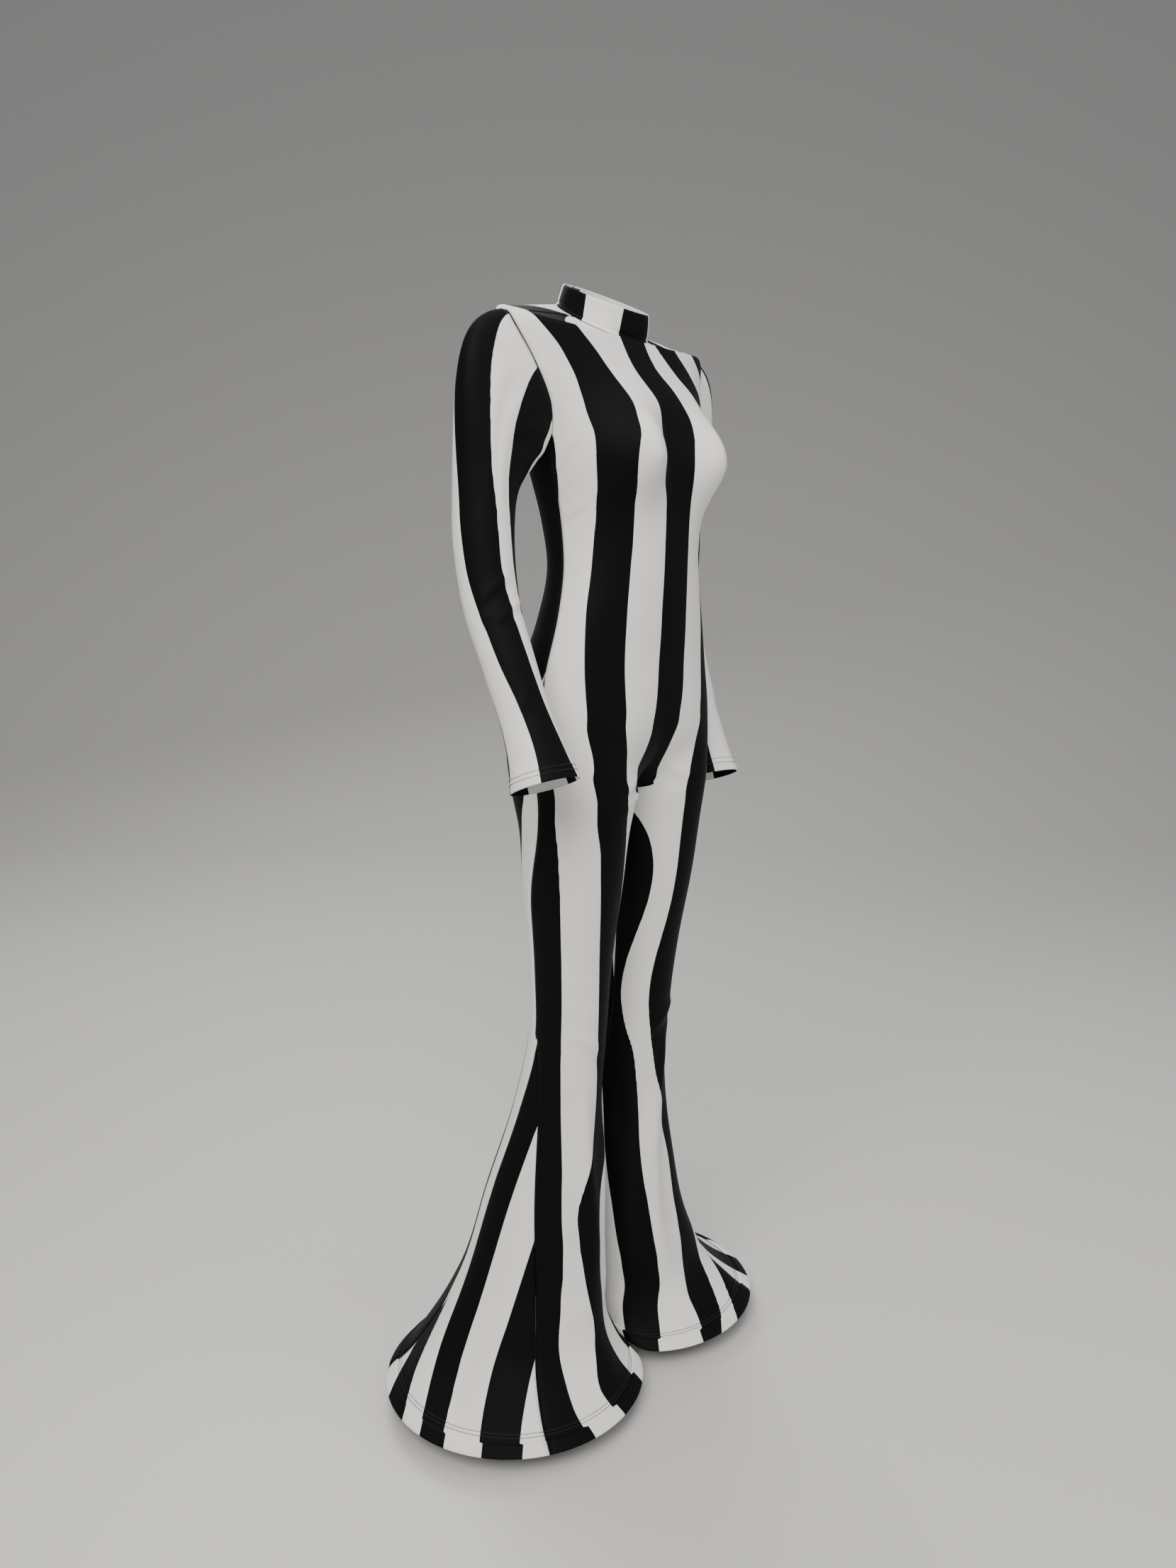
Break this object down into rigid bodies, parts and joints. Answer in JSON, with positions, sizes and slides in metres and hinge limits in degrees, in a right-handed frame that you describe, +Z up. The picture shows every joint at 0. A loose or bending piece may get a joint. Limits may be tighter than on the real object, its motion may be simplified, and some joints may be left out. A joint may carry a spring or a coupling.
{
  "type": "striped bell-bottom catsuit",
  "caption": "Full-length stretch catsuit in bold black and white stripes with a mock-turtle collar, long sleeves, flared stiff-edged bell legs and a centre-back zip.",
  "frame": {"origin": "on the wearer's body axis at the height of the back of the neck seam, where the suit rests on the wearer", "axes": "+Z up along the wearer, -Y the front of the suit, +X the wearer's left"},
  "size_m": [0.659, 0.3786, 1.5426],
  "materials": {
    "black_cloth": "matt black stretch jersey, with white stripes in the visual model",
    "white_cloth": "satin white stretch jersey, with black stripes in the visual model",
    "lining": "wrong side of white jersey",
    "braid": "stiff woven monofilament braid",
    "thread": "dark polyester thread",
    "tape": "black woven polyester tape",
    "coil": "black nylon",
    "zip_metal": "black enamel on zinc alloy"
  },
  "bodies": {
    "suit": {"front_panel": "white_cloth", "back_panel_left": "black_cloth", "back_panel_right": "black_cloth", "flare_godet_left": "white_cloth", "flare_godet_right": "white_cloth", "sleeve_left": "black_cloth", "sleeve_right": "black_cloth", "collar_outer": "white_cloth", "collar_lining": "lining", "hem_braid_left": "braid", "hem_braid_right": "braid", "hem_thread_lower_left": "thread", "cuff_thread_lower_left": "thread", "hem_thread_lower_right": "thread", "cuff_thread_lower_right": "thread", "hem_thread_upper_left": "thread", "cuff_thread_upper_left": "thread", "hem_thread_upper_right": "thread", "cuff_thread_upper_right": "thread", "zip_tape_left": "tape", "zip_coil_left": "coil", "zip_top_stop_left": "zip_metal", "zip_tape_right": "tape", "zip_coil_right": "coil", "zip_top_stop_right": "zip_metal", "zip_bottom_stop": "zip_metal"},
    "slider": {"zip_slider": "zip_metal"},
    "pull": {"zip_pull": "zip_metal"}
  },
  "joints": [
    {"name": "zip_travel", "type": "hinge", "parent": "suit", "child": "slider", "pos_m": [0, -0.6989, -0.197], "axis": [-1, 0, 0], "range_deg": [0, 29.9]},
    {"name": "pull_swing", "type": "hinge", "parent": "slider", "child": "pull", "pos_m": [0, 0.07246, 0.0185], "axis": [1, 0, 0], "range_deg": [0, 150]}
  ]
}
